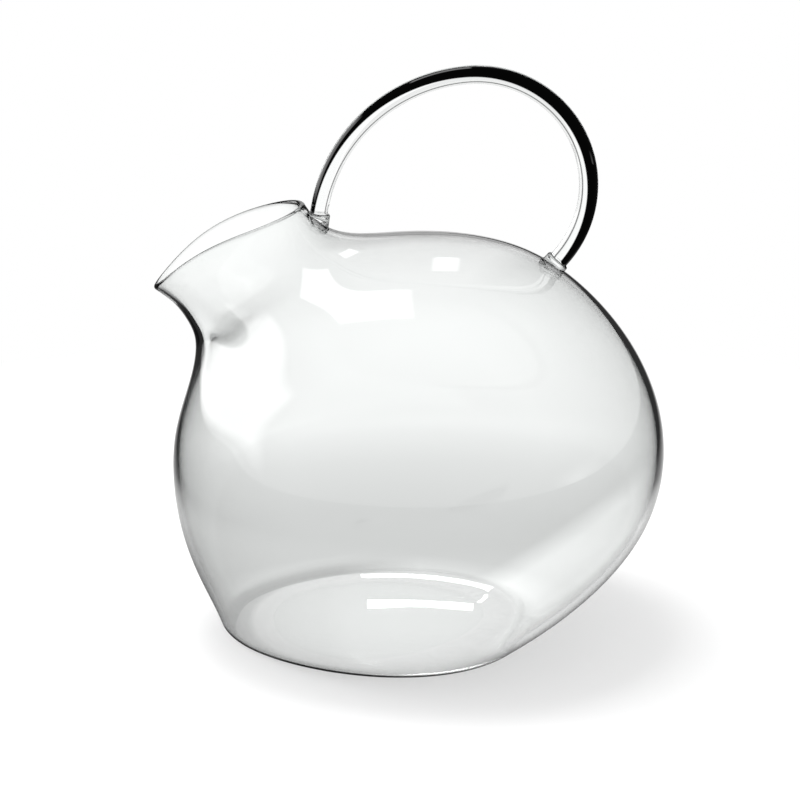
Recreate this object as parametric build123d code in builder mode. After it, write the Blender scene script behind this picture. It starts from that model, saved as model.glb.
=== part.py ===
from build123d import *
from dataclasses import dataclass, replace
from math import cos, degrees, exp, radians, sin, sqrt, tan
import os

# Clear glass ball jug: a leaning blown body with a slanted pouring mouth, and a glass loop handle.
# Millimetres, +Z up. The origin is the middle of the ring that the jug stands on. The spout points
# along -X, the handle lies in the XZ plane, and the jug is alike on both sides of that plane.

# Ball of the body, an ellipsoid whose lowest part is pressed up to the floor; the sink is its depth
ball_length = 173.0
ball_width = 172.0
ball_height = 167.5
ball_x = 14.4
ball_sink = 23.55

# Standing end: fuller than the ball at the toe below the spout, drawn in at the sides, and
# flattened and broader at the heel below the handle
toe_fullness = 9.4
toe_reach = 11.0
side_flattening = 8.5
heel_flattening = 22.1
heel_broadening = 0.17
heel_reach = 34.5
base_corner_radius = 6.0
pushup_radius = 38.0
pushup_depth = 0.8

# Throat below the spout, and the back of the neck that rises from the top of the ball
throat_angle = 24.2
throat_front_x = -63.6
ridge_back_x = 16.6
throat_half_width = 44.0
neck_angle = 26.2
neck_front_x = -66.6
neck_back_x = -9.4
neck_half_width = 31.0
collar_angle = 27.8
collar_front_x = -71.2
collar_back_x = -19.9
collar_half_width = 24.0
throat_pinch = 0.30
pinch_bearing = 145.0
pinch_spread = 19.0

# Shares of the lip's narrowing and of the throat's pinch that each of these sections has
throat_shares = (0.5, 1.0)
neck_shares = (0.7, 0.7)
collar_shares = (0.9, 0.3)

# Mouth, from the tip of its pouring lip to its back; the drop is measured from the top of the ball
lip_tip_x = -77.9
lip_drop = 19.45
mouth_length = 60.0
mouth_tilt = 29.5
mouth_half_width = 20.0
lip_narrowing = 0.25
lip_droop = 5.1
mouth_back_droop = 2.6
rim_straight_from = 0.2
rim_straight_to = 0.75
mouth_allowance = 1.7
trim_margin = 10.0
trim_height = 40.0

# Glass
wall = 2.2
floor_thickness = 2.8
rim_rounding = 0.8

# Handle, a drawn rod bent to two arcs that share a tangent, and the pads that weld it to the body.
# The centre of its rear arc rises over the top of the ball.
handle_x = 33.6
handle_rise = 16.05
handle_rear_radius = 38.6
handle_front_radius = 56.0
handle_crown_angle = 95.0
handle_rear_start = -68.0
handle_front_end = 192.0
rod_radius_front = 3.05
rod_radius_rear = 3.4
pad_height = 3.4
pad_root = 2.5
button_radius = 4.7
button_height = 1.3
button_rounding = 1.1
bead_overhang = 0.9
bead_rounding = 0.75

ball_angles = (2.5, 6.0, 10.0, 14.0, 18.0, 21.5)
outline_points = 24
rod_sections = 13

ball_z = ball_height / 2 - ball_sink
ball_top = ball_height - ball_sink
lip_tip_z = ball_top - lip_drop
handle_z = ball_top + handle_rise

# The sections of the body stand on planes that fan out from one line on the floor before the spout
hinge_x = lip_tip_x - lip_tip_z / tan(radians(mouth_tilt))


@dataclass
class Station:
    """One closed section: its two ends in the XZ plane, and what shapes its sides."""

    front: Vector
    back: Vector
    half_width: float
    broadening: float = 0.0
    pinch: float = 0.0


def on_fan(angle, x):
    """The point of the XZ plane at this x on the fan plane of this angle."""
    return Vector(x, 0, (x - hinge_x) * tan(radians(angle)))


def ball_station(angle):
    """The ball's own section on a fan plane, with what the standing end adds and takes away."""
    a, b, c = ball_length / 2, ball_width / 2, ball_height / 2
    slope = tan(radians(angle))
    rise = slope * (ball_x - hinge_x) - ball_z
    square = 1 / a**2 + slope**2 / c**2
    linear = slope * rise / c**2
    chord = sqrt(linear**2 - square * (rise**2 / c**2 - 1)) / square
    across = -linear / square
    front, middle, back = (on_fan(angle, ball_x + across + step) for step in (-chord, 0, chord))
    down = middle.Z - ball_z
    half_width = b * sqrt(1 - (across / a) ** 2 - (down / c) ** 2)
    return Station(
        on_fan(angle, front.X - toe_fullness * exp(-front.Z / toe_reach)),
        on_fan(angle, back.X - heel_flattening * exp(-((back.Z / heel_reach) ** 2))),
        half_width - side_flattening * exp(-middle.Z / toe_reach),
        broadening=heel_broadening * exp(-((middle.Z / heel_reach) ** 2)),
    )


def mouth_station(extra_angle):
    """The mouth's section, or one as far above it, where the neck still flares."""
    share = extra_angle / (mouth_tilt - collar_angle)
    back_x = lip_tip_x + mouth_length * cos(radians(mouth_tilt))
    return Station(
        on_fan(mouth_tilt + extra_angle, lip_tip_x + share * (lip_tip_x - collar_front_x)),
        on_fan(mouth_tilt + extra_angle, back_x + share * (back_x - collar_back_x)),
        mouth_half_width,
        broadening=lip_narrowing,
    )


def body_stations():
    """The sections of the blown form from the floor to just above the mouth."""
    neck = [
        (throat_angle, throat_front_x, ridge_back_x, throat_half_width, throat_shares),
        (neck_angle, neck_front_x, neck_back_x, neck_half_width, neck_shares),
        (collar_angle, collar_front_x, collar_back_x, collar_half_width, collar_shares),
    ]
    stations = [ball_station(angle) for angle in (0.0, *ball_angles)]
    for angle, front_x, back_x, half_width, (narrowed, pinched) in neck:
        ends = on_fan(angle, front_x), on_fan(angle, back_x)
        shape = half_width, narrowed * lip_narrowing, pinched * throat_pinch
        stations.append(Station(*ends, *shape))
    return stations + [mouth_station(0.0), mouth_station(mouth_allowance)]


def moved_in(stations, thickness, floor):
    """The same sections moved inwards by the thickness of the glass, the first one onto the floor."""
    inner = []
    for k, station in enumerate(stations):
        before, after = stations[max(k - 1, 0)], stations[min(k + 1, len(stations) - 1)]
        travel = (after.front + after.back - before.front - before.back).length / 2
        flare = (after.half_width - before.half_width) / travel
        half_width = station.half_width - thickness * sqrt(1 + flare**2)
        if k == 0:
            half_width += flare * floor
        ends = []
        for side, end in (("front", station.front), ("back", station.back)):
            along = (getattr(after, side) - getattr(before, side)).normalized()
            inwards = along.cross(Vector(0, 1, 0)) * (1 if side == "back" else -1)
            point = end + inwards * thickness
            if k == 0:
                point = point + along * ((floor - point.Z) / along.Z)
            ends.append(point)
        inner.append(replace(station, front=ends[0], back=ends[1], half_width=half_width))
    return inner


def outline(station):
    """Points of a section's outline, on its own plane, from its back end round the spout side."""
    half_length = (station.back - station.front).length / 2
    points = []
    for k in range(outline_points):
        bearing = 360 * k / outline_points
        off_left = (bearing - pinch_bearing) / pinch_spread
        off_right = (bearing - 360 + pinch_bearing) / pinch_spread
        dent = station.pinch * (exp(-(off_left**2)) + exp(-(off_right**2)))
        lengthwise, sideways = cos(radians(bearing)), sin(radians(bearing))
        width = station.half_width * (1 + station.broadening * lengthwise) * (1 - dent)
        points.append((half_length * lengthwise, width * sideways))
    return points


def section_plane(station):
    """The plane of a section, its x axis from the spout side to the handle side."""
    along = (station.back - station.front).normalized()
    return Plane((station.front + station.back) / 2, x_dir=along, z_dir=along.cross(Vector(0, 1, 0)))


def blown(stations):
    """The solid lofted through the sections."""
    with BuildPart() as form:
        for station in stations:
            with BuildSketch(section_plane(station)):
                with BuildLine():
                    Spline(outline(station), periodic=True)
                make_face()
        loft()
    return form.part


def rim_point(share):
    """A point of the straight middle of the rim, seen from the side, by its share of the mouth."""
    mouth = mouth_station(0.0)
    chord = mouth.front * (1 - share) + mouth.back * share
    return chord.X, chord.Z + lip_droop * (1 - share) + mouth_back_droop * share


def arc_of(angle):
    """Centre and radius of the handle's arc at an angle: the rear arc up to the crown, then the front."""
    centre = Vector(handle_x, 0, handle_z)
    if angle <= handle_crown_angle:
        return centre, handle_rear_radius
    crown = Vector(cos(radians(handle_crown_angle)), 0, sin(radians(handle_crown_angle)))
    return centre + crown * (handle_rear_radius - handle_front_radius), handle_front_radius


def handle_plane(angle):
    """The plane across the handle's rod at an angle, facing from its rear end to its front end."""
    centre, radius = arc_of(angle)
    outwards = Vector(cos(radians(angle)), 0, sin(radians(angle)))
    return Plane(centre + outwards * radius, x_dir=(0, 1, 0), z_dir=Vector(0, -1, 0).cross(outwards))


def rod_radius(angle):
    """The rod thins evenly from its rear end to its front end."""
    share = (angle - handle_rear_start) / (handle_front_end - handle_rear_start)
    return rod_radius_rear + (rod_radius_front - rod_radius_rear) * share


def foot_angle(start, end):
    """The angle at which the arc from start to end meets the outside of the body."""
    arc = ThreePointArc(*(handle_plane(angle).origin for angle in (start, (start + end) / 2, end)))
    foot = arc.intersect(outside)[0].center()
    return start + (end - start) * arc.param_at_point(foot)


def rounded_disc(bottom, radius, height, rounding):
    """A disc of glass standing on a plane, its upper edge melted round."""
    with BuildPart(bottom) as disc:
        Cylinder(radius, height, align=(Align.CENTER, Align.CENTER, Align.MIN))
        fillet(disc.faces().sort_by(Axis(bottom.origin, bottom.z_dir))[-1].edges(), radius=rounding)
    return disc.part


def weld_pad(foot):
    """A button melted onto the wall at one foot of the handle, with a bead round the rod's end."""
    towards = 1 if handle_crown_angle > foot else -1
    end = foot + towards * degrees(pad_height / arc_of(foot)[1])
    foot_point, end_plane = handle_plane(foot).origin, handle_plane(end)
    off_wall, along_rod = outside.normal_at(foot_point), end_plane.z_dir * towards
    wall_plane = Plane(foot_point - off_wall * pad_root, x_dir=(0, 1, 0), z_dir=off_wall)
    bead_height = pad_height + pad_root
    bead_plane = Plane(end_plane.origin - along_rod * bead_height, x_dir=(0, 1, 0), z_dir=along_rod)
    with BuildPart() as pad:
        add(rounded_disc(wall_plane, button_radius, pad_root + button_height, button_rounding))
        add(rounded_disc(bead_plane, rod_radius(end) + bead_overhang, bead_height, bead_rounding))
        add(closed_body.part, mode=Mode.SUBTRACT)
    return pad.part


stations = body_stations()

# The cut that leaves the rim, seen from the side: nearly straight, drooping at the lip's tip
with BuildPart() as rim_cut:
    with BuildSketch(Plane.XZ.offset(-ball_width / 2)):
        with BuildLine():
            tip, back = mouth_station(0.0).front, mouth_station(0.0).back
            straight = rim_point(rim_straight_from), rim_point(rim_straight_to)
            rim = Spline((tip.X, tip.Z), *straight, (back.X, back.Z))
            below = rim @ 0 - (rim % 0) * trim_margin
            beyond = rim @ 1 + (rim % 1) * trim_margin
            left, top = below.X - trim_margin, beyond.Y + trim_height
            Polyline(rim @ 1, beyond, (beyond.X, top), (left, top), (left, below.Y), below, rim @ 0)
        make_face()
    extrude(amount=ball_width)

# The body's outside, without its cavity: the welds and the rod end on it
with BuildPart() as closed_body:
    add(blown(stations))
    fillet(closed_body.edges().group_by(Axis.Z)[0], radius=base_corner_radius)
    add(rim_cut.part, mode=Mode.SUBTRACT)

# The shallow dome of the floor, so that the jug stands on a ring
with BuildPart() as pushup:
    with BuildSketch(Plane.XZ):
        with BuildLine():
            dome = TangentArc((0, pushup_depth), (pushup_radius, 0), tangent=(1, 0))
            Polyline(dome @ 1, (0, 0), dome @ 0)
        make_face()
    revolve(axis=Axis.Z)

with BuildPart() as cavity:
    add(blown(moved_in(stations, wall, floor_thickness)))
    fillet(cavity.edges().group_by(Axis.Z)[0], radius=base_corner_radius - wall)
    add(pushup.part.moved(Location((0, 0, floor_thickness))), mode=Mode.SUBTRACT)

with BuildPart() as glass_body:
    add(closed_body.part)
    add(cavity.part, mode=Mode.SUBTRACT)
    fillet(glass_body.faces().filter_by(GeomType.EXTRUSION).edges(), radius=rim_rounding)
    add(pushup.part, mode=Mode.SUBTRACT)

outside = closed_body.faces().sort_by(SortBy.AREA)[-1]

with BuildPart() as front_handle_weld:
    add(weld_pad(foot_angle(handle_crown_angle, handle_front_end)))

with BuildPart() as rear_handle_weld:
    add(weld_pad(foot_angle(handle_rear_start, handle_crown_angle)))

with BuildPart() as handle:
    for k in range(rod_sections):
        angle = handle_rear_start + (handle_front_end - handle_rear_start) * k / (rod_sections - 1)
        with BuildSketch(handle_plane(angle)):
            Circle(rod_radius(angle))
    loft()
    for neighbour in (closed_body, front_handle_weld, rear_handle_weld):
        add(neighbour.part, mode=Mode.SUBTRACT)

os.makedirs("parts", exist_ok=True)
pieces = {
    "glass_body": glass_body,
    "handle": handle,
    "front_handle_weld": front_handle_weld,
    "rear_handle_weld": rear_handle_weld,
}
for name, piece in pieces.items():
    piece.part.label = name
    export_step(piece.part, f"parts/{name}.step")
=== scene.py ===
from math import cos, exp, pi, radians, sin, sqrt, tan

import bpy
import numpy as np
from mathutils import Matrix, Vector


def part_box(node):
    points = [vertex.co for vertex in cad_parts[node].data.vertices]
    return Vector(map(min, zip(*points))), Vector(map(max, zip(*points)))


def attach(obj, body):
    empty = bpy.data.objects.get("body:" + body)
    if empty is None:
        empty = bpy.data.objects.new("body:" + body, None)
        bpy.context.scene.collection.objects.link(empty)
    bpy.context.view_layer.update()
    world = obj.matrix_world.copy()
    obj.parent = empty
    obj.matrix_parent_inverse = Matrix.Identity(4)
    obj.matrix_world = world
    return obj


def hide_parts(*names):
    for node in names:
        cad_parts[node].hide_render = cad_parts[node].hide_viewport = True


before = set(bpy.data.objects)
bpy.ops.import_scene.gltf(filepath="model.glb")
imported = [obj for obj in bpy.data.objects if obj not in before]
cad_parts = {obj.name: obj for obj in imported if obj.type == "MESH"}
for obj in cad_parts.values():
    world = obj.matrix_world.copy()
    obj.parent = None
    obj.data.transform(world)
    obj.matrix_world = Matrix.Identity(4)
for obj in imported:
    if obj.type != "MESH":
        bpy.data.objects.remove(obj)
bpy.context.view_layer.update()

MM = 0.001

# The form of the jug, in millimetres and degrees: the same as the CAD solids'

# Ball of the body, and the angles on the fan at which it has a section
BALL_LENGTH, BALL_WIDTH, BALL_HEIGHT = 173.0, 172.0, 167.5
BALL_X, BALL_Z = 14.4, 60.2
BALL_ANGLES = (0.0, 2.5, 6.0, 10.0, 14.0, 18.0, 21.5)
# Standing end: how much fuller or flatter than the ball it is, and how high up that reaches
TOE_FULLNESS, TOE_REACH, SIDE_FLATTENING = 9.4, 11.0, 8.5
HEEL_FLATTENING, HEEL_BROADENING, HEEL_REACH = 22.1, 0.17, 34.5
# The corner it stands on, outside and in the cavity, and the push-up underneath
CORNER, INNER_CORNER = 6.0, 3.8
PUSHUP_RADIUS, PUSHUP_DEPTH = 38.0, 0.8
WALL, FLOOR = 2.2, 2.8
# Mouth, from the tip of its lip
LIP_X, LIP_Z = -77.9, 124.5
MOUTH_LENGTH, MOUTH_TILT, MOUTH_HALF_WIDTH, LIP_NARROWING = 60.0, 29.5, 20.0, 0.25
# The rim is straight between these shares of the mouth, and droops from there to lip and back
STRAIGHT_FROM, STRAIGHT_TO, LIP_DROOP, BACK_DROOP = 0.2, 0.75, 5.1, 2.6
# The sections run on past the mouth by this angle, so that the rim lies within them
ALLOWANCE = 1.7
# Throat: angle, front x, back x, half width, share of the narrowing, share of the pinch
THROAT = [(24.2, -63.6, 16.6, 44.0, 0.5, 1.0),
          (26.2, -66.6, -9.4, 31.0, 0.7, 0.7),
          (27.8, -71.2, -19.9, 24.0, 0.9, 0.3)]
# The dents beside the lip
PINCH, PINCH_BEARING, PINCH_SPREAD = 0.30, 145.0, 19.0
# Handle: centre of its rear arc, radii of both arcs, and the angle at which they join
HANDLE_X, HANDLE_Z = 33.6, 160.0
REAR_RADIUS, FRONT_RADIUS, CROWN = 38.6, 56.0, 95.0
# The rod's radius at its rear and front end, and the angles of these ends
ROD_REAR, ROD_FRONT = 3.4, 3.05
ROD_START, ROD_END = -68.0, 192.0
# The part of the rod that shows, from bead to bead
ROD_BETWEEN_BEADS = -41.917, 171.776

# Fineness of the meshes

# Points around the body, rows up its wall, steps over its corner and over its rim
AROUND, UP, CORNER_STEPS, RIM_STEPS = 224, 150, 14, 8
# This share of a row's place follows this power, which crowds the rows towards the floor
CROWDED, CROWDING = 0.65, 1.5
# Rings of the push-up dome, and of the flat ring between it and the corner
DOME_SHARES = (0.12, 0.3, 0.5, 0.65, 0.78, 0.88, 0.95, 1.0)
FLAT_SHARES = (0.33, 0.66)
# How far up, in millimetres, the wall's lean at the floor is taken, and where its corner has ended
LEAN_REACH, CORNER_LIMIT = 6.0, 40.0
# The rim's direction is taken over this many rows, and its line runs past the mouth by this share
RIM_ROWS, RIM_OVERRUN = 3, 0.05
BISECTIONS = 40
ROD_AROUND, ROD_RINGS = 48, 240

# Glass: tint, and the size and strength of its waves

GLASS_IOR, GLASS_ROUGHNESS, WAVE_DETAIL, WAVE_DEPTH = 1.47, 0.0, 1.0, 0.0004
BODY_TINT, BODY_WAVES = (0.975, 0.985, 0.98), (22.0, 0.25)
HANDLE_TINT, HANDLE_WAVES = (0.97, 0.98, 0.975), (60.0, 0.2)
# How clear the glass is, from seen straight on, 0, to seen along its surface, 1. This is painted
# shade towards the glass's edges, far darker than the longer path through the glass makes it
EDGE_BLEND = 0.5
BODY_CLEAR_WITH_PAINTED_EDGE_SHADE = [(0.0, 1.0), (0.15, 1.0), (0.4, 0.93), (0.65, 0.89), (0.78, 0.87), (0.88, 0.6),
              (1.0, 0.3)]
WELD_CLEAR_WITH_PAINTED_EDGE_SHADE = [(0.0, 1.0), (0.12, 0.9), (0.4, 0.25), (1.0, 0.02)]
# A band is (low, high, soft edge). These three, in metres, bound the dark arc of painted shade at
# the body's corner
ARC_HEIGHT, ARC_RADIUS = (-0.003, 0.0055, 0.003), (0.044, 0.2, 0.003)
ARC_LENGTH = (-0.2, 0.015, 0.03)
PAINTED_ARC_SHADE = 0.4
# The middle of the handle's loop, in millimetres: painted shade makes the rod dark where it turns
# away from there
LOOP_X, LOOP_Z = 34.3, 150.0
PAINTED_OUTER_SHADE = [(0.0, 0), (0.14, 0), (0.22, 1)]
# That painted dark edge is widest towards the upper right
SHOULDER, SHOULDER_SHIFT = (0.7, 0.0, 0.7), 0.45
# The painted dark line on the rod's inner half, and how far sideways the rod faces where both are
# seen
PAINTED_INNER_LINE, PAINTED_INNER_LINE_SHADE = (-0.76, -0.54, 0.08), 0.97
SIDEWAYS = [(0.0, 0), (0.15, 0), (0.35, 1)]

# Studio: metres, and brightness where 1 is white

WHITE, BLACK, PAPER = (1, 1, 1, 1), (0, 0, 0, 1), (0.9, 0.9, 0.9, 1)
TABLE_HALF = 30
# Beyond everything, as the open end of a band
FAR = 9
# The ramps over the table reach this far from the jug's middle, and this bright
TABLE_SPAN, TABLE_BRIGHTEST = 0.8, 1.2
# What the glass shows of the table through two walls, with a painted shadow of the jug in it:
# metres from the jug's middle, brightness
TABLE_BEHIND_WITH_PAINTED_SHADOW = [(0.0, 0.98), (0.045, 0.92), (0.075, 0.70), (0.13, 0.72), (0.20, 0.82),
                (0.27, 0.98), (0.48, 1.08)]
# A painted pool of light on the table, along a slanted direction, across it and away from the base
PAINTED_LIGHT_ON_TABLE, LIGHTER_SLANT = 0.5, 0.6
LIGHTER_ALONG, LIGHTER_ACROSS = (0.010, 0.4, 0.018), (-0.2, 0.20, 0.07)
LIGHTER_AWAY = (0.048, FAR, 0.012)
# Light has crossed no more than one wall, or one surface, while its transmission depth is below
# these, and has been reflected where its glossy depth is above this
ONE_WALL, ONE_SURFACE, REFLECTED = 3.5, 1.5, 0.5
# Light that turned inside one wall sees the table painted dark, beyond these metres
TURNED_FROM, TURNED_TO, PAINTED_TURNED_SHADE = 0.15, 0.22, 0.98
# Where the table runs out into the white backdrop, and how much of its shade is seen
SWEEP_FROM, SWEEP_TO, SHADE_KEPT = 0.24, 0.40, 0.5
# What reflections see: a bright strip behind the jug, and little else
TABLE_TO_REFLECTIONS, ROOM_TO_REFLECTIONS, BACKDROP_TO_REFLECTIONS = 0.05, 0.05, 0.75
STRIP_X, STRIP_Y = (-0.2, 0.25, 0.1), (0.02, FAR, 0.1)
STRIP_NARROW, STRIP_BEHIND = [(0.0, 1), (0.16, 1), (0.3, 0)], [(0.0, 0), (0.3, 0), (0.6, 1)]
# The backdrop seen through the glass, and the room's light on everything else
BACKDROP, ROOM_LIGHT = 0.896, 0.9
# Panels that the front of the jug mirrors, each on one side of the room. The bands of the two other
# directions are shares of the direction to that side, which counts from this size on
PANEL_REACH = 0.15
PANELS = [{"axis": "X", "sign": -1, "bright": 3.0,
           "bands": {"Y": (-0.25, 1.60, 0.12), "Z": (-0.02, 0.80, 0.12)}},
          {"axis": "X", "sign": 1, "bright": 1.5,
           "bands": {"Y": (-0.55, 0.02, 0.25), "Z": (-0.09, 0.12, 0.08)}},
          {"axis": "Z", "sign": 1, "bright": 3.5,
           "bands": {"X": (-0.55, -0.02, 0.03), "Y": (0.02, 0.50, 0.03)}},
          {"axis": "Z", "sign": 1, "bright": 2.5,
           "bands": {"X": (0.04, 0.18, 0.03), "Y": (0.95, 1.60, 0.05)}}]
# Lamps, in watts. The narrow one makes the glint on the floor of the jug
LAMPS = {"side_left": {"place": (-1.1, 0.3, 0.6), "target": (0, 0, 0.08),
                       "size": (0.7, 1.0), "power": 9},
         "glint": {"place": (0.024, 0.33, 0.107), "target": (0.007, 0.044, 0.004),
                   "size": (0.07, 0.010), "power": 0.014},
         "overhead": {"place": (-0.2, 0.12, 1.3), "target": (0, 0, 0.1),
                      "size": (0.6, 0.6), "power": 11}}
GLINT_SPREAD = 12

CAMERA_AIM, CAMERA_DISTANCE, CAMERA_ELEVATION = (0.00755, 0, 0.0838), 1.0, 16.0
LENS, SENSOR = 128.57, 36.0

# The line on the floor, before the spout, that all sections of the body fan out from
HINGE_X = LIP_X - LIP_Z / tan(radians(MOUTH_TILT))
# A section is a row of front x and z, back x and z, half width, broadening and pinch
FRONT, BACK, HALF_WIDTH, BROAD, DENT = slice(0, 2), slice(2, 4), 4, 5, 6


def on_fan(angle, x):
    return np.array([x, (x - HINGE_X) * tan(radians(angle))])


def ball_section(angle):
    """The ball cut at an angle of the fan, fuller or flatter near the floor."""
    a, b, c = BALL_LENGTH / 2, BALL_WIDTH / 2, BALL_HEIGHT / 2
    slope = tan(radians(angle))
    rise = slope * (BALL_X - HINGE_X) - BALL_Z
    square = 1 / a**2 + slope**2 / c**2
    linear = slope * rise / c**2
    chord = sqrt(linear**2 - square * (rise**2 / c**2 - 1)) / square
    across = -linear / square
    front, middle, back = (on_fan(angle, BALL_X + across + step) for step in (-chord, 0, chord))
    width = b * sqrt(1 - (across / a) ** 2 - ((middle[1] - BALL_Z) / c) ** 2)
    front = on_fan(angle, front[0] - TOE_FULLNESS * exp(-front[1] / TOE_REACH))
    back = on_fan(angle, back[0] - HEEL_FLATTENING * exp(-((back[1] / HEEL_REACH) ** 2)))
    width -= SIDE_FLATTENING * exp(-middle[1] / TOE_REACH)
    return [*front, *back, width, HEEL_BROADENING * exp(-((middle[1] / HEEL_REACH) ** 2)), 0.0]


def mouth_section(extra):
    """The section at the mouth, or past it by an extra angle."""
    throat_angle, throat_front, throat_back = THROAT[-1][:3]
    share = extra / (MOUTH_TILT - throat_angle)
    back_x = LIP_X + MOUTH_LENGTH * cos(radians(MOUTH_TILT))
    front = on_fan(MOUTH_TILT + extra, LIP_X + share * (LIP_X - throat_front))
    back = on_fan(MOUTH_TILT + extra, back_x + share * (back_x - throat_back))
    return [*front, *back, MOUTH_HALF_WIDTH, LIP_NARROWING, 0.0]


def body_sections():
    rows = [ball_section(angle) for angle in BALL_ANGLES]
    for angle, front, back, width, narrowed, pinched in THROAT:
        rows.append([*on_fan(angle, front), *on_fan(angle, back), width,
                     narrowed * LIP_NARROWING, pinched * PINCH])
    return np.array(rows + [mouth_section(0.0), mouth_section(ALLOWANCE)])


def moved_in(rows, thickness, floor):
    """The sections moved in by a thickness, the first one to the floor's height."""
    inner = rows.copy()
    last = len(rows) - 1
    for k in range(len(rows)):
        before, after = rows[max(k - 1, 0)], rows[min(k + 1, last)]
        for side, sign in ((FRONT, 1), (BACK, -1)):
            along = after[side] - before[side]
            along = along / np.linalg.norm(along)
            # the inward normal, to the right of the way up at the front and to its left at the back
            point = rows[k, side] + np.array([along[1], -along[0]]) * sign * thickness
            if k == 0:
                point = point + along * ((floor - point[1]) / along[1])
            inner[k, side] = point
        travel = np.linalg.norm(after[FRONT] + after[BACK] - before[FRONT] - before[BACK]) / 2
        flare = (after[HALF_WIDTH] - before[HALF_WIDTH]) / travel
        inner[k, HALF_WIDTH] -= thickness * sqrt(1 + flare**2)
        if k == 0:
            inner[k, HALF_WIDTH] += flare * floor
    return inner


def natural_spline(x, y):
    """Cubic spline through the rows of y, free at both ends; returns a function of x."""
    n = len(x)
    h = np.diff(x)
    lhs, rhs = np.eye(n), np.zeros_like(y)
    for i in range(1, n - 1):
        lhs[i, i - 1:i + 2] = h[i - 1], 2 * (h[i - 1] + h[i]), h[i]
        rhs[i] = 6 * ((y[i + 1] - y[i]) / h[i] - (y[i] - y[i - 1]) / h[i - 1])
    bend = np.linalg.solve(lhs, rhs)

    def at(u):
        u = np.asarray(u, float)
        k = np.clip(np.searchsorted(x, u) - 1, 0, n - 2)
        step, left, right = h[k][..., None], (u - x[k])[..., None], (x[k + 1] - u)[..., None]
        return ((bend[k] * right**3 + bend[k + 1] * left**3) / (6 * step)
                + (y[k] / step - bend[k] * step / 6) * right
                + (y[k + 1] / step - bend[k + 1] * step / 6) * left)
    return at


class Blown:
    """A form lofted through sections; point(s, t) takes arrays of s and of bearing t."""

    def __init__(self, rows):
        middle = (rows[:, FRONT] + rows[:, BACK]) / 2
        lines = (rows[:, FRONT], rows[:, BACK], middle)
        travel = sum(np.linalg.norm(np.diff(p, axis=0), axis=1) for p in lines) / len(lines)
        self.s = np.concatenate([[0], np.cumsum(travel)])
        self.curve = natural_spline(self.s, rows)

    def point(self, s, t):
        v = self.curve(s)
        middle, half = (v[..., FRONT] + v[..., BACK]) / 2, (v[..., BACK] - v[..., FRONT]) / 2
        bearing = np.degrees(t) % 360
        dent = v[..., DENT] * sum(np.exp(-(((bearing - place) / PINCH_SPREAD) ** 2))
                                  for place in (PINCH_BEARING, 360 - PINCH_BEARING))
        x = middle[..., 0] + half[..., 0] * np.cos(t)
        z = middle[..., 1] + half[..., 1] * np.cos(t)
        y = v[..., HALF_WIDTH] * (1 + v[..., BROAD] * np.cos(t)) * (1 - dent) * np.sin(t)
        return np.stack([x, y, z], -1)


def rim_height():
    """The rim's height over x, as the cut that leaves it."""
    back_x = LIP_X + MOUTH_LENGTH * cos(radians(MOUTH_TILT))
    rise = MOUTH_LENGTH * sin(radians(MOUTH_TILT))
    shares = np.array([0, STRAIGHT_FROM, STRAIGHT_TO, 1.0])
    droop = np.array([0, *((LIP_DROOP * (1 - s) + BACK_DROOP * s) for s in shares[1:3]), 0])
    line = natural_spline(shares, (LIP_Z + rise * shares + droop)[:, None])

    def height(x):
        share = (x - LIP_X) / (back_x - LIP_X)
        return line(np.clip(share, -RIM_OVERRUN, 1 + RIM_OVERRUN))[..., 0]
    return height


def last_where(holds, low, high):
    """For each bearing the highest s between low and high at which a rule still holds."""
    for _ in range(BISECTIONS):
        s = (low + high) / 2
        held = holds(s)
        low, high = np.where(held, s, low), np.where(held, high, s)
    return low


def up_to_rim(form, t, rim, below):
    """For each bearing the s at which the form meets the rim, the given depth below it."""
    def under(s):
        p = form.point(s, t)
        return p[..., 2] < rim(p[..., 0]) - below
    first = form.s[len(BALL_ANGLES) - 1]
    return last_where(under, np.full_like(t, first), np.full_like(t, form.s[-1]))


def wall_rows(form, t, rim, corner, below, floor):
    """Rows of points from the standing corner, rounded as by a rolling ball, to the rim."""
    base, over = form.point(np.zeros_like(t), t), form.point(np.full_like(t, LEAN_REACH), t)
    tangent = np.roll(base, -1, 0) - np.roll(base, 1, 0)
    out = np.stack([tangent[:, 1], -tangent[:, 0]], -1)
    out /= np.linalg.norm(out, axis=1, keepdims=True)
    rise = over - base
    lean = np.arctan2((rise[:, :2] * out).sum(1), rise[:, 2])
    run = corner / np.tan((pi / 2 + lean) / 2)
    # the arc from the floor's tangent point to the wall's
    rows = []
    for k in range(CORNER_STEPS):
        turn = (pi / 2 - lean) * k / CORNER_STEPS
        inset = -run + corner * np.sin(turn)
        height = corner * (1 - np.cos(turn))
        rows.append(np.column_stack([base[:, :2] + out * inset[:, None], floor + height]))
    # the wall's own rows, from where the arc ends
    arc_end = floor + run * np.cos(lean)
    start = last_where(lambda s: form.point(s, t)[:, 2] < arc_end,
                       np.zeros_like(t), np.full_like(t, CORNER_LIMIT))
    top = up_to_rim(form, t, rim, below)
    share = np.linspace(0, 1, UP)[:, None]
    share = CROWDED * share**CROWDING + (1 - CROWDED) * share
    wall = form.point(start + share * (top - start), np.broadcast_to(t, (UP, len(t))))
    return np.concatenate([np.array(rows), wall])


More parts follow.
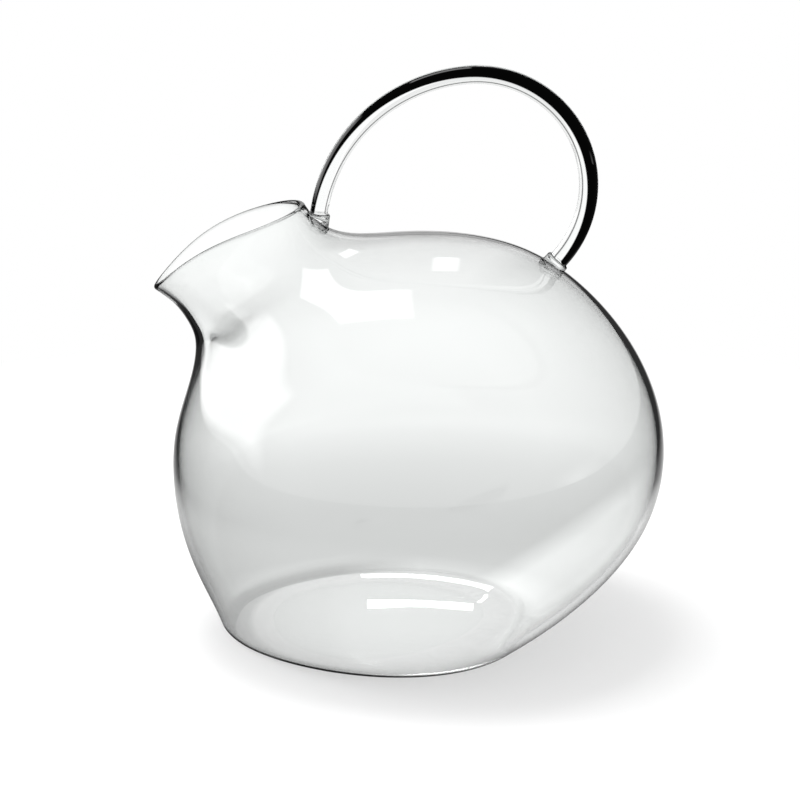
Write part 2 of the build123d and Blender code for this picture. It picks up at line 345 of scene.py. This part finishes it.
def grid_mesh(name, rings, first_centre, last_centre):
    """A smooth mesh of closed rings, one after another, closed by a centre point at each end."""
    count = rings.shape[1]
    points = np.vstack([rings.reshape(-1, 3), first_centre, last_centre])
    first, last = len(points) - 2, len(points) - 1
    top = (len(rings) - 1) * count
    steps = [(j, (j + 1) % count) for j in range(count)]
    faces = [(a + j, a + k, a + count + k, a + count + j)
             for a in range(0, top, count) for j, k in steps]
    faces += [(first, k, j) for j, k in steps]
    faces += [(last, top + j, top + k) for j, k in steps]
    mesh = bpy.data.meshes.new(name)
    mesh.from_pydata((points * MM).tolist(), [], faces)
    mesh.validate()
    for polygon in mesh.polygons:
        polygon.use_smooth = True
    mesh.update()
    piece = bpy.data.objects.new(name, mesh)
    bpy.context.scene.collection.objects.link(piece)
    return piece


def between(a, b, share):
    return a * (1 - share) + b * share


def melted_rim(outside, inside):
    """Half a circle from the outer wall's top to the inner wall's."""
    a, b = outside[-1], inside[-1]
    centre, radius = (a + b) / 2, np.linalg.norm(a - b, axis=1) / 2
    side = (a - b) / (2 * radius[:, None])
    up = a - outside[-1 - RIM_ROWS]
    up -= (up * side).sum(1)[:, None] * side
    up /= np.linalg.norm(up, axis=1, keepdims=True)
    turns = [pi * k / RIM_STEPS for k in range(1, RIM_STEPS)]
    return [centre + (side * cos(turn) + up * sin(turn)) * radius[:, None] for turn in turns]


def make_body():
    t = np.linspace(0, 2 * pi, AROUND, endpoint=False)
    rows = body_sections()
    rim = rim_height()
    outside = wall_rows(Blown(rows), t, rim, CORNER, WALL / 2, 0.0)
    inside = wall_rows(Blown(moved_in(rows, WALL, FLOOR)), t, rim, INNER_CORNER, WALL / 2, FLOOR)
    # underneath: the dome, and a flat ring from it to the corner, at the bearings of the corner
    edge = outside[0]
    bearing = np.arctan2(edge[:, 1], edge[:, 0])
    ring = np.column_stack([np.cos(bearing), np.sin(bearing), np.zeros(AROUND)]) * PUSHUP_RADIUS
    dome = [ring * s + np.array([0, 0, PUSHUP_DEPTH * (1 - s**2)]) for s in DOME_SHARES]
    under = dome + [between(ring, edge, s) for s in FLAT_SHARES]
    # the inner floor has the same dome
    lift = np.array([0, 0, FLOOR])
    floor = [between(ring + lift, inside[0], s) for s in reversed(FLAT_SHARES)]
    floor += [row + lift for row in reversed(dome)]
    rings = np.concatenate([under, outside, melted_rim(outside, inside), inside[::-1], floor])
    top = np.array([0, 0, PUSHUP_DEPTH])
    return grid_mesh("glass_body_visual", rings, top, top + lift)


def direction(angle):
    return np.array([cos(radians(angle)), 0, sin(radians(angle))])


def rod_point(angle):
    """Centre of the rod, outward direction and radius at an angle of the handle."""
    out = direction(angle)
    centre, radius = np.array([HANDLE_X, 0, HANDLE_Z]), REAR_RADIUS
    if angle > CROWN:
        centre, radius = centre + direction(CROWN) * (REAR_RADIUS - FRONT_RADIUS), FRONT_RADIUS
    share = (angle - ROD_START) / (ROD_END - ROD_START)
    return centre + out * radius, out, ROD_REAR + (ROD_FRONT - ROD_REAR) * share


def make_rod():
    """The rod between the beads of its two welds."""
    turns = np.linspace(0, 2 * pi, ROD_AROUND, endpoint=False)[:, None]
    angles = np.linspace(*ROD_BETWEEN_BEADS, ROD_RINGS)
    rings = []
    for angle in angles:
        centre, out, radius = rod_point(angle)
        rings.append(centre + radius * (np.cos(turns) * out + np.sin(turns) * (0, 1, 0)))
    first_centre, last_centre = rod_point(angles[0])[0], rod_point(angles[-1])[0]
    return grid_mesh("handle_visual", np.array(rings), first_centre, last_centre)


def fit_to_node(piece, node):
    """Brings the piece's box onto its node's, which is fractions of a millimetre off."""
    low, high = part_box(node)
    low, high = np.array(low), np.array(high)
    co = np.empty(len(piece.data.vertices) * 3)
    piece.data.vertices.foreach_get("co", co)
    co = co.reshape(-1, 3)
    own_low, own_high = co.min(0), co.max(0)
    co = low + (co - own_low) * ((high - low) / (own_high - own_low))
    piece.data.vertices.foreach_set("co", co.ravel())
    piece.data.update()


class Graph:
    """Adds nodes to a tree and links them. The tree is emptied first unless it is kept."""

    # the colour sockets of a Mix node
    MIX_A, MIX_B, MIX_RESULT = 6, 7, 2

    def __init__(self, tree, keep=False):
        self.tree = tree
        if not keep:
            tree.nodes.clear()

    def add(self, kind, **settings):
        node = self.tree.nodes.new(kind)
        for key, value in settings.items():
            setattr(node, key, value)
        return node

    def link(self, source, target):
        self.tree.links.new(source, target)

    def feed(self, node, *values):
        """Gives the node's inputs, in turn, values of their own or other nodes' outputs."""
        for socket, value in zip(node.inputs, values):
            if isinstance(value, bpy.types.NodeSocket):
                self.link(value, socket)
            else:
                socket.default_value = value
        return node

    def math(self, operation, *values, clamp=False):
        node = self.add("ShaderNodeMath", operation=operation, use_clamp=clamp)
        return self.feed(node, *values).outputs[0]

    def vector(self, operation, *values):
        """A vector, or the number that a length or a dot product gives."""
        node = self.feed(self.add("ShaderNodeVectorMath", operation=operation), *values)
        return node.outputs["Value" if operation in ("LENGTH", "DOT_PRODUCT") else "Vector"]

    def axes(self, vector):
        return self.feed(self.add("ShaderNodeSeparateXYZ"), vector).outputs

    def band(self, value, low, high, soft):
        """One between low and high, running out over the soft width inside them."""
        rising = self.math("DIVIDE", self.math("SUBTRACT", value, low), soft, clamp=True)
        falling = self.math("DIVIDE", self.math("SUBTRACT", high, value), soft, clamp=True)
        return self.math("MULTIPLY", rising, falling)

    def ramp(self, value, stops):
        """Straight runs between (position, grey) stops."""
        node = self.feed(self.add("ShaderNodeValToRGB"), value)
        elements = node.color_ramp.elements
        while len(elements) > 1:
            elements.remove(elements[-1])
        elements[0].position = stops[0][0]
        elements[0].color = (*[stops[0][1]] * 3, 1)
        for position, grey in stops[1:]:
            elements.new(position).color = (*[grey] * 3, 1)
        return node.outputs[0]

    def glow(self, kind, strength):
        """White light from an Emission or Background node."""
        return self.feed(self.add(kind), WHITE, strength).outputs[0]

    def mix(self, share, a, b):
        return self.feed(self.add("ShaderNodeMixShader"), share, a, b).outputs[0]

    def paint_shade_into_tint(self, clear):
        """Paints shade into the glass: it keeps its colour where clear is one, and is black where
        it is nought.
        """
        colour = self.tree.nodes["Principled BSDF"].inputs["Base Color"]
        tint = self.add("ShaderNodeMix", data_type="RGBA")
        tint.inputs[self.MIX_A].default_value = BLACK
        tint.inputs[self.MIX_B].default_value = colour.default_value
        self.link(clear, tint.inputs[0])
        self.link(tint.outputs[self.MIX_RESULT], colour)


def glass(name, tint, wave_scale, wave_strength):
    """Clear glass with the faint waves that blowing leaves; returns the material and its graph."""
    material = bpy.data.materials.new(name)
    material.use_nodes = True
    g = Graph(material.node_tree, keep=True)
    shader = g.tree.nodes["Principled BSDF"]
    shader.inputs["Base Color"].default_value = (*tint, 1)
    shader.inputs["Transmission Weight"].default_value = 1.0
    shader.inputs["Roughness"].default_value = GLASS_ROUGHNESS
    shader.inputs["IOR"].default_value = GLASS_IOR
    noise = g.add("ShaderNodeTexNoise")
    noise.inputs["Scale"].default_value = wave_scale
    noise.inputs["Detail"].default_value = WAVE_DETAIL
    bump = g.add("ShaderNodeBump")
    bump.inputs["Strength"].default_value = wave_strength
    bump.inputs["Distance"].default_value = WAVE_DEPTH
    g.link(g.add("ShaderNodeTexCoord").outputs["Object"], noise.inputs["Vector"])
    g.link(noise.outputs["Fac"], bump.inputs["Height"])
    g.link(bump.outputs["Normal"], shader.inputs["Normal"])
    return material, g


def clear_with_painted_edge_shade(g, stops):
    """Painted shade towards the glass's edges, far darker than the longer path of light through the
    glass at a slant would make it.
    """
    edge = g.feed(g.add("ShaderNodeLayerWeight"), EDGE_BLEND)
    return g.ramp(edge.outputs["Facing"], stops)


def clear_with_painted_corner_arc(g):
    """Painted shade: a dark arc at the corner at the floor, on the spout's side."""
    position = g.add("ShaderNodeNewGeometry").outputs["Position"]
    radius = g.vector("LENGTH", g.vector("MULTIPLY", position, (1, 1, 0)))
    axes = g.axes(position)
    arc = g.math("MULTIPLY", g.band(axes["Z"], *ARC_HEIGHT), g.band(radius, *ARC_RADIUS))
    arc = g.math("MULTIPLY", arc, g.band(axes["X"], *ARC_LENGTH))
    return g.math("SUBTRACT", 1.0, g.math("MULTIPLY", arc, PAINTED_ARC_SHADE))


def clear_with_painted_rod_shade(g):
    """Painted shade on the side of the rod turned away from the loop, standing in for the dark of
    the room that the rod bends into view, and a painted dark line on its inner half.
    """
    place = g.add("ShaderNodeNewGeometry")
    normal = place.outputs["Normal"]
    in_plane = g.vector("MULTIPLY", place.outputs["Position"], (1, 0, 1))
    away = g.vector("NORMALIZE", g.vector("SUBTRACT", in_plane, (LOOP_X * MM, 0, LOOP_Z * MM)))
    outward = g.vector("DOT_PRODUCT", away, normal)
    shoulder = g.vector("DOT_PRODUCT", away, SHOULDER)
    outer = g.ramp(g.math("MULTIPLY_ADD", shoulder, SHOULDER_SHIFT, outward), PAINTED_OUTER_SHADE)
    line = g.math("MULTIPLY", g.band(outward, *PAINTED_INNER_LINE), PAINTED_INNER_LINE_SHADE)
    # only on the way in, and seen along the loop's plane the middle of the rod stays clear
    entering = g.math("SUBTRACT", 1.0, place.outputs["Backfacing"])
    sideways = g.ramp(g.math("ABSOLUTE", g.axes(normal)["Y"]), SIDEWAYS)
    shown = g.math("MULTIPLY", entering, sideways)
    return g.math("SUBTRACT", 1.0, g.math("MULTIPLY", g.math("MAXIMUM", outer, line), shown))


# Painted shade in the glass tints: towards the edges of body and welds, in an arc at the body's
# floor corner, and on the rod's outer side and inner line
body_glass, g = glass("body_glass", BODY_TINT, *BODY_WAVES)
g.paint_shade_into_tint(g.math("MULTIPLY", clear_with_painted_edge_shade(g, BODY_CLEAR_WITH_PAINTED_EDGE_SHADE), clear_with_painted_corner_arc(g)))
rod_glass, g = glass("rod_glass", HANDLE_TINT, *HANDLE_WAVES)
g.paint_shade_into_tint(clear_with_painted_rod_shade(g))
weld_glass, g = glass("weld_glass", HANDLE_TINT, *HANDLE_WAVES)
g.paint_shade_into_tint(clear_with_painted_edge_shade(g, WELD_CLEAR_WITH_PAINTED_EDGE_SHADE))

body = make_body()
fit_to_node(body, "glass_body")
body.data.materials.append(body_glass)
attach(body, "root")
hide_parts("glass_body")

rod = make_rod()
fit_to_node(rod, "handle")
rod.data.materials.append(rod_glass)
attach(rod, "root")
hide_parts("handle")

for node in ("front_handle_weld", "rear_handle_weld"):
    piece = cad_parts[node]
    piece.data.materials.clear()
    piece.data.materials.append(weld_glass)


def table_through_glass(g, path, away, spot):
    """Brightness of the table where the glass shows it, with a painted shadow around the jug, a
    painted pool of light and painted shade.
    """
    span = g.math("DIVIDE", away, TABLE_SPAN, clamp=True)
    seen = g.ramp(span, [(r / TABLE_SPAN, v / TABLE_BRIGHTEST) for r, v in TABLE_BEHIND_WITH_PAINTED_SHADOW])
    seen = g.math("MULTIPLY", seen, TABLE_BRIGHTEST)
    # the lower right of the jug sees a painted pool of light on the table
    slanted = g.math("SUBTRACT", spot["X"], g.math("MULTIPLY", spot["Y"], LIGHTER_SLANT))
    painted_light = g.band(slanted, *LIGHTER_ALONG)
    for value, limits in ((spot["Y"], LIGHTER_ACROSS), (away, LIGHTER_AWAY)):
        painted_light = g.math("MULTIPLY", painted_light, g.band(value, *limits))
    seen = g.math("MULTIPLY", seen, g.math("ADD", 1.0, g.math("MULTIPLY", painted_light, PAINTED_LIGHT_ON_TABLE)))
    # painted shade: light that turned inside one wall sees the table dark, standing in for the dark
    # sides of the room
    one_wall = g.math("LESS_THAN", path["Transmission Depth"], ONE_WALL)
    turned = g.math("MULTIPLY", one_wall, g.math("GREATER_THAN", path["Glossy Depth"], REFLECTED))
    sides = g.ramp(span, [(0.0, 0), (TURNED_FROM / TABLE_SPAN, 0), (TURNED_TO / TABLE_SPAN, 1)])
    painted_dark = g.math("MULTIPLY", g.math("MULTIPLY", turned, sides), PAINTED_TURNED_SHADE)
    return g.math("MULTIPLY", seen, g.math("SUBTRACT", 1.0, painted_dark))


def table_in_reflections(g, spot):
    """Brightness of the table where the glass mirrors it: a bright strip behind the jug."""
    strip = g.math("MULTIPLY", g.band(spot["X"], *STRIP_X), g.band(spot["Y"], *STRIP_Y))
    return g.math("ADD", g.math("MULTIPLY", strip, BACKDROP_TO_REFLECTIONS), TABLE_TO_REFLECTIONS)


def table_seen(g, path, away):
    """Paper that takes the jug's shadow and runs out into white."""
    paper = g.feed(g.add("ShaderNodeBsdfDiffuse"), PAPER).outputs[0]
    span = g.math("DIVIDE", away, TABLE_SPAN, clamp=True)
    sweep = g.ramp(span, [(0.0, 1 - SHADE_KEPT), (SWEEP_FROM / TABLE_SPAN, 1 - SHADE_KEPT),
                          (SWEEP_TO / TABLE_SPAN, 1)])
    swept = g.math("MULTIPLY", sweep, path["Is Camera Ray"])
    return g.mix(swept, paper, g.glow("ShaderNodeEmission", 1.0))


def table_paper():
    material = bpy.data.materials.new("table_paper")
    material.use_nodes = True
    g = Graph(material.node_tree)
    path = g.add("ShaderNodeLightPath").outputs
    position = g.add("ShaderNodeNewGeometry").outputs["Position"]
    away, spot = g.vector("LENGTH", position), g.axes(position)
    mirrored = g.glow("ShaderNodeEmission", table_in_reflections(g, spot))
    through = g.glow("ShaderNodeEmission", table_through_glass(g, path, away, spot))
    shown = g.mix(path["Is Glossy Ray"], table_seen(g, path, away), mirrored)
    # rays through glass count as glossy too, so theirs comes last
    shown = g.mix(path["Is Transmission Ray"], shown, through)
    g.feed(g.add("ShaderNodeOutputMaterial"), shown)
    return material


def make_room():
    """White to the camera and through the glass, dim to reflections, soft on the table."""
    world = bpy.data.worlds.new("room")
    bpy.context.scene.world = world
    world.use_nodes = True
    g = Graph(world.node_tree)
    path = g.add("ShaderNodeLightPath").outputs
    axes = g.axes(g.add("ShaderNodeTexCoord").outputs["Generated"])
    narrow = g.ramp(g.math("ABSOLUTE", axes["X"]), STRIP_NARROW)
    strip = g.math("MULTIPLY", narrow, g.ramp(axes["Y"], STRIP_BEHIND))
    strip = g.math("MULTIPLY", strip, BACKDROP_TO_REFLECTIONS)
    mirrored = g.math("ADD", strip, ROOM_TO_REFLECTIONS)
    front_wall = g.math("LESS_THAN", path["Transmission Depth"], ONE_SURFACE)
    for panel in PANELS:
        reach = g.math("MULTIPLY", axes[panel["axis"]], panel["sign"])
        light = g.math("MULTIPLY", front_wall, g.math("GREATER_THAN", reach, PANEL_REACH))
        for other, band in panel["bands"].items():
            share = g.math("DIVIDE", axes[other], reach)
            light = g.math("MULTIPLY", light, g.band(share, *band))
        mirrored = g.math("ADD", mirrored, g.math("MULTIPLY", light, panel["bright"]))
    soft, white, dim, behind = (g.glow("ShaderNodeBackground", strength)
                                for strength in (ROOM_LIGHT, 1.0, mirrored, BACKDROP))
    shown = g.mix(path["Is Camera Ray"], soft, white)
    shown = g.mix(path["Is Glossy Ray"], shown, dim)
    shown = g.mix(path["Is Transmission Ray"], shown, behind)
    g.feed(g.add("ShaderNodeOutputWorld"), shown)


def aimed(thing, place, target):
    """Puts a lamp or camera at a place and turns it to a target."""
    thing.location = place
    thing.rotation_euler = (Vector(target) - Vector(place)).to_track_quat("-Z", "Y").to_euler()
    bpy.context.scene.collection.objects.link(thing)
    return thing


def softbox(name, place, target, size, power):
    """A lamp that the glass neither mirrors nor shows."""
    lamp = bpy.data.lights.new(name, "AREA")
    lamp.shape = "RECTANGLE"
    lamp.size, lamp.size_y = size
    lamp.energy = power
    thing = aimed(bpy.data.objects.new(name, lamp), place, target)
    thing.visible_glossy = False
    thing.visible_transmission = False
    return thing


floor_mesh = bpy.data.meshes.new("table")
corners = [(-TABLE_HALF, -TABLE_HALF, 0), (TABLE_HALF, -TABLE_HALF, 0),
           (TABLE_HALF, TABLE_HALF, 0), (-TABLE_HALF, TABLE_HALF, 0)]
floor_mesh.from_pydata(corners, [], [(0, 1, 2, 3)])
floor = bpy.data.objects.new("table", floor_mesh)
bpy.context.scene.collection.objects.link(floor)
floor_mesh.materials.append(table_paper())

make_room()

lamps = {name: softbox(name, **settings) for name, settings in LAMPS.items()}
# this one lights nothing: only the glass shows it
lamps["glint"].data.spread = radians(GLINT_SPREAD)
lamps["glint"].visible_diffuse = False
lamps["glint"].visible_transmission = True

camera_data = bpy.data.cameras.new("camera")
camera_data.lens, camera_data.sensor_width = LENS, SENSOR
elevation = radians(CAMERA_ELEVATION)
camera_place = Vector(CAMERA_AIM) + Vector((0, -cos(elevation), sin(elevation))) * CAMERA_DISTANCE
camera = aimed(bpy.data.objects.new("camera", camera_data), camera_place, CAMERA_AIM)
bpy.context.scene.camera = camera

bpy.context.scene.view_settings.view_transform = "Standard"
